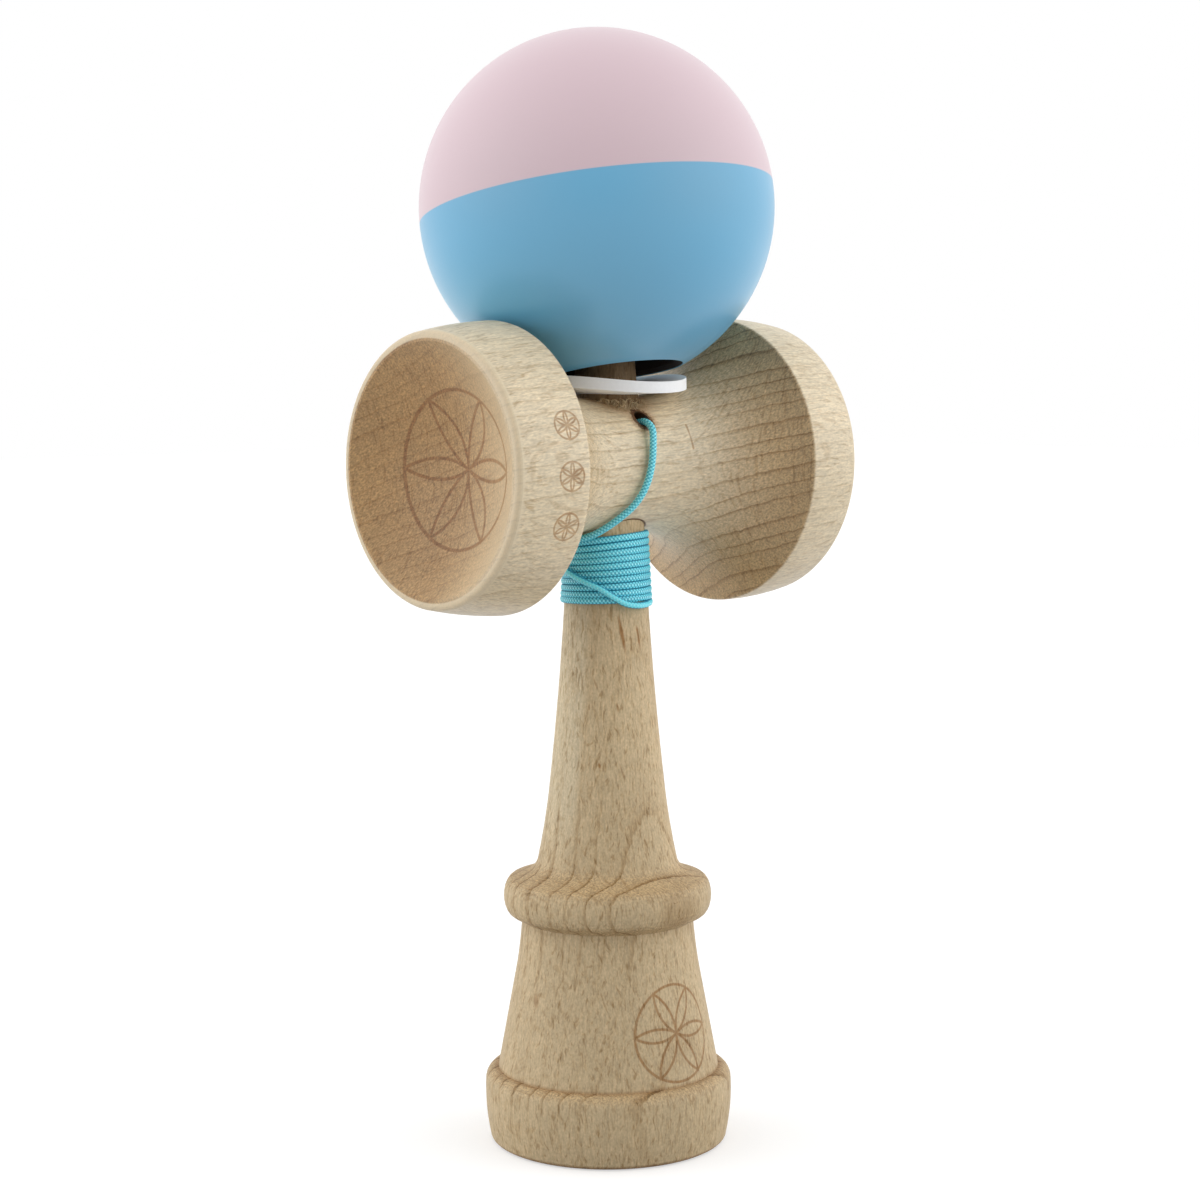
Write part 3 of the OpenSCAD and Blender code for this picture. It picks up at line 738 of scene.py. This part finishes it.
def smooth_mesh(name, points, faces):
    """A smoothly shaded mesh. points are in mm."""
    mesh = bpy.data.meshes.new(name)
    mesh.from_pydata((points * MM).tolist(), [], faces)
    mesh.polygons.foreach_set("use_smooth", np.ones(len(mesh.polygons), bool))
    mesh.update()
    return mesh


def add_piece(name, mesh, material):
    """A piece of the scene with this mesh and material."""
    piece = bpy.data.objects.new(name, mesh)
    mesh.materials.append(material)
    bpy.context.scene.collection.objects.link(piece)
    return piece


def away_from_axis(line):
    """Outward directions for a cord that lies on the handle."""
    out = line * np.array((1, 1, 0))
    return out / np.linalg.norm(out, axis=1)[:, None]


def hole_point(at):
    """The point in the slanted string hole at a distance outwards from the middle of the neck."""
    return np.array(HOLE_MIDDLE) + at * np.array((0, -math.cos(HOLE_TILT), math.sin(HOLE_TILT)))


# The string as drawn. Half-sizes in mm: where it is slack, on the turns, which are pressed flat, and where it
# crosses over them. The turns' width is PRESSED times their pitch, and they stray by UNEVEN mm in two waves.
LOOSE_R, WOUND_THICK, OVER_R = 0.585, 0.37, 0.54
PRESSED, OVER_SINK = 1.06, 0.03
UNEVEN, UNEVEN_WAVES = 0.03, (23, 37)
# Lengths along the winding in mm: its two slack ends, and the end that crosses over the turns
START_RUN, END_RUN, OVER_RUN, OVER_FADE = 9, 8, 27, 7
# How much of the grooves' painted shade the turns' sides take, and how smooth the crossing end is pulled
TURNS_PACKED, OVER_PULLED = 0.9, 0.6
TURN_STEP = 15


def dress_string():
    """The string's stretches: from the handle's knot, round the handle, and up to the ball's knot."""
    turns = [wound_point(a) for a in np.arange(0, WOUND_HELIX + WOUND_CROSS + 1, TURN_STEP)]
    before, after = run_on(turns[1], turns[0]), run_on(turns[-2], turns[-1])

    lead = slack_cord("string_lead_cord", [hole_point(KNOT_R - KEN_KNOT_AT), *LEAD_ROUTE, before])
    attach(lead, "handle")
    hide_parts("string_lead")

    winding = wound_cord("string_winding_cord", [before, *turns, after])
    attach(winding, "handle")
    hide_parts("string_winding")

    inside = [np.array(ball_point(up)) for up in STRING_END_UP]
    rear = slack_cord("string_rear_cord", [after, *REAR_ROUTE, *inside])
    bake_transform(rear)
    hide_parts("string_rear", "string_end")


def run_on(a, b):
    """The point one string's width beyond b on the way from a."""
    return b + (b - a) / np.linalg.norm(b - a) * 2 * WOUND_R


def slack_cord(name, route):
    """A round stretch of string that hangs free."""
    line = smooth_line(route, CORD_STEP)
    half = np.full(len(line), LOOSE_R)
    outward = np.tile((1.0, 0.0, 0.0), (len(line), 1))
    piece = cord_mesh(name, line, outward, half, half)
    return piece


def wound_cord(name, route):
    """The winding, slack at both ends, pressed flat on its turns, and round where it crosses over them."""
    line = smooth_line(route, CORD_STEP)
    from_start = np.arange(len(line)) * CORD_STEP
    from_end = from_start[::-1]
    start = np.array([1 - ease(s / START_RUN) for s in from_start])
    end = np.array([1 - ease(s / END_RUN) for s in from_end])
    over = np.array([1 - ease((s - OVER_RUN) / OVER_FADE) for s in from_end]) * (1 - end)
    turn = np.arctan2(line[:, 1], line[:, 0]) - math.radians(WOUND_LEFT)
    pitch = WOUND_PITCH + WOUND_SLANT / 2 * 360 / WOUND_HELIX * (1 - np.cos(turn))
    flat = PRESSED * pitch / 2
    wide = flat + (start + end) * (LOOSE_R - flat) + over * (OVER_R - flat)
    thick = WOUND_THICK + (start + end) * (LOOSE_R - WOUND_THICK) + over * (OVER_R - WOUND_THICK)
    outward = away_from_axis(line)
    first_wave, second_wave = UNEVEN_WAVES
    uneven = np.sin(from_start / first_wave) + np.sin(from_start / second_wave + 1)
    drawn = line - outward * over[:, None] * OVER_SINK
    drawn[:, 2] += UNEVEN * uneven * (1 - np.maximum(start, np.maximum(end, over)))
    packed = TURNS_PACKED * (1 - np.maximum(start, end))
    piece = cord_mesh(name, drawn, outward, wide, thick, packed, over * OVER_PULLED)
    return piece


def dress_knots():
    """Overhand knots, whose string runs along a trefoil."""
    t = np.linspace(0, 2 * math.pi, KNOT_POINTS)[:-1]
    trefoil = np.stack([np.sin(t) + 2 * np.sin(2 * t), np.cos(t) - 2 * np.cos(2 * t), -np.sin(3 * t)], 1)
    for name, body, node, centre in (
        ("ken_knot_cord", "handle", "ken_knot", hole_point(-KEN_KNOT_AT)),
        ("bead_knot_cord", "tether", "bead_knot", np.array(ball_point(BEAD_KNOT_UP))),
    ):
        line = smooth_line(list(trefoil * (KNOT_R - KNOT_STRING_R) / 3 + centre), CORD_STEP)
        half = np.full(len(line), KNOT_STRING_R)
        knot = cord_mesh(name, line, line - centre, half, half)
        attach(knot, body)
        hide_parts(node)


WASHER_UNDER = 128.5
TORN_COUNT, TORN_SIDES, TORN_RINGS = 60, 5, 13
TORN_SEED = 4
TORN_HEADINGS, TORN_REACH = (205, 305), (0.1, 0.9)
# Least and most of a fibre's length in mm, its rise as a share of the room, its sway in mm and its curls
TORN_LEAST, TORN_MOST = (0.3, 0.4, -0.9, 0.6), (1.5, 0.95, 0.9, 1.5)
TORN_HALF = (0.06, 0.12)
TORN_SUNK, TORN_DROOP, TORN_ARCH, TORN_TAPER = 0.1, 0.9, 0.85, 1.15
UP = np.array((0, 0, 1))


def fibre_points(random, heading, reach):
    """Rings of points along one curled fibre, in mm, that starts just inside the neck's surface."""
    t = np.linspace(0, 1, TORN_RINGS)[:, None]
    turn = 2 * np.pi * np.arange(TORN_SIDES) / TORN_SIDES
    out = np.array((math.cos(math.radians(heading)), math.sin(math.radians(heading)), 0))
    across = np.array((-out[1], out[0], 0))
    x, y = ((SPIKE_R + reach) * out)[:2]
    root = np.array((x, y, AXIS_Z + math.sqrt(NECK_R**2 - y**2) - TORN_SUNK))
    span, rise, sway, curls = random.uniform(TORN_LEAST, TORN_MOST)
    line = root + t * span * out
    line = line + np.sin(np.pi * t * TORN_ARCH) * rise * (WASHER_UNDER - root[2]) * UP
    line = line + np.sin(2 * np.pi * curls * t) * sway * across
    line = line - TORN_DROOP * span * t**2 * UP
    half = random.uniform(*TORN_HALF) * (TORN_TAPER - t)
    ring = np.cos(turn)[:, None] * across + np.sin(turn)[:, None] * UP
    return (line[:, None, :] + half[:, None, :] * ring[None, :, :]).reshape(-1, 3)


def torn_fibres(material):
    """Curled splinters that the drill tore up on the neck, in front of the spike and under the washer."""
    random = np.random.default_rng(TORN_SEED)
    headings = random.uniform(*TORN_HEADINGS, TORN_COUNT)
    reaches = random.uniform(*TORN_REACH, TORN_COUNT)
    points = [fibre_points(random, heading, reach) for heading, reach in zip(headings, reaches)]
    per_fibre = TORN_RINGS * TORN_SIDES
    tip = list(range(per_fibre))[-TORN_SIDES:]
    one = tube_faces(TORN_RINGS, TORN_SIDES) + [tip]
    starts = range(0, TORN_COUNT * per_fibre, per_fibre)
    faces = [[i + start for i in face] for start in starts for face in one]
    piece = add_piece("torn_fibres", smooth_mesh("torn_fibres", np.vstack(points), faces), material)
    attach(piece, "handle")


# Stage: white background, pale floor, and the light of a tent with soft boxes at its left and right, whose
# open front gives the least light
TENT_LIGHT = 0.6
SIDE_LIGHT = 2.6
FRONT_LOSS, FRONT_FOCUS = 0.6, 2.3
WHITE = (1, 1, 1, 1)
FLOOR_COLOUR = (0.6, 0.6, 0.6)
FLOOR_BOUNCE = (0.44, 0.44, 0.44)
FLOOR_GLOW = 0.45
FLOOR_HALF, FLOOR_BELOW = 3.0, 0.05 * MM
SEEN_RAYS = ("Is Camera Ray", "Is Glossy Ray", "Is Transmission Ray")


def seen_directly(tree):
    """1 for rays from the camera, also by way of gloss or glass, and 0 for those that gather light."""
    node = tree.nodes.new("ShaderNodeLightPath")
    first, *others = (Num(tree, node.outputs[kind]) for kind in SEEN_RAYS)
    for other in others:
        first = first.max(other)
    return first


def facing(tree, direction):
    """How far the light's direction agrees with this one, from -1 to 1."""
    place = tree.nodes.new("ShaderNodeTexCoord")
    node = tree.nodes.new("ShaderNodeVectorMath")
    node.operation = "DOT_PRODUCT"
    node.inputs[1].default_value = direction
    tree.links.new(place.outputs["Generated"], node.inputs[0])
    return Num(tree, node.outputs["Value"])


def add_light():
    """The tent's light, behind a background that looks white."""
    world = bpy.data.worlds.new("studio")
    bpy.context.scene.world = world
    world.use_nodes = True
    tree = world.node_tree
    front = facing(tree, (-math.cos(CAMERA_HEADING), -math.sin(CAMERA_HEADING), 0))
    side = facing(tree, (math.sin(CAMERA_HEADING), -math.cos(CAMERA_HEADING), 0))
    light = TENT_LIGHT + side * side * SIDE_LIGHT - (front.max(0.0) ** FRONT_FOCUS) * FRONT_LOSS
    seen = seen_directly(tree)
    background = tree.nodes["Background"]
    background.inputs["Color"].default_value = WHITE
    put(tree, background.inputs["Strength"], light + seen * (1 - light))


def add_floor():
    """The pale floor, which throws back less light than it shows."""
    look = Look("floor_white", 0.9, 0.0)
    seen = seen_directly(look.tree)
    put(look.tree, look.shader.inputs["Base Color"], look.mix(seen, FLOOR_BOUNCE, FLOOR_COLOUR))
    look.shader.inputs["Emission Color"].default_value = WHITE
    put(look.tree, look.shader.inputs["Emission Strength"], seen * FLOOR_GLOW)
    mesh = bpy.data.meshes.new("floor")
    corners = [(x * FLOOR_HALF, y * FLOOR_HALF, 0) for x, y in ((-1, -1), (1, -1), (1, 1), (-1, 1))]
    mesh.from_pydata(corners, [], [(0, 1, 2, 3)])
    floor = add_piece("floor", mesh, look.material)
    floor.location.z = -FLOOR_BELOW


def wear(node, material):
    """Gives a CAD node its material."""
    mesh = nodes[node].data
    mesh.materials.clear()
    mesh.materials.append(material)


STRING = string_braid()
add_camera()
add_light()
add_floor()
wear("ken", ken_wood())
wear("sarado", sarado_wood())
wear("tama", ball_paint())
wear("spacer_ring", washer_white())
bare_beech = bead_wood()
wear("bead", bare_beech)
torn_fibres(bare_beech)
dress_string()
dress_knots()

bpy.context.scene.view_settings.view_transform = "Standard"
